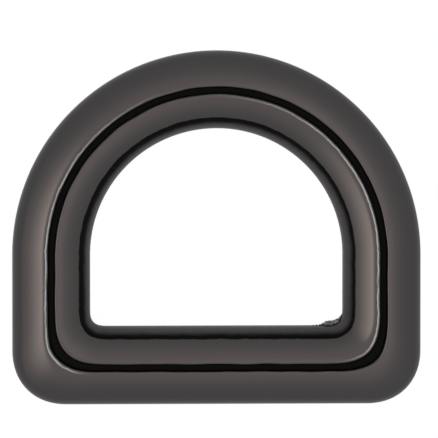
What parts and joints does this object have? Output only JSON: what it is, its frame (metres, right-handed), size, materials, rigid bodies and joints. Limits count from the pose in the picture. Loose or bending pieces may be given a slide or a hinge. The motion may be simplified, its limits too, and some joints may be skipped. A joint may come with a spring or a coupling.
{
  "type": "d ring",
  "caption": "Cast D ring for a strap end: a straight bar, a round bow, a grooved and rounded face and a flat back.",
  "frame": {"origin": "under the middle of the outline, on the surface that the flat back rests on", "axes": "+X along the straight bar, +Y from the bar towards the bow, +Z out of the decorated face"},
  "size_m": [0.0404, 0.035, 0.005],
  "materials": {
    "gunmetal": "black nickel plating over a zinc casting, satin on the face, dull and nearly black in the groove"
  },
  "bodies": {
    "root": {"d_ring": "gunmetal"}
  },
  "joints": []
}
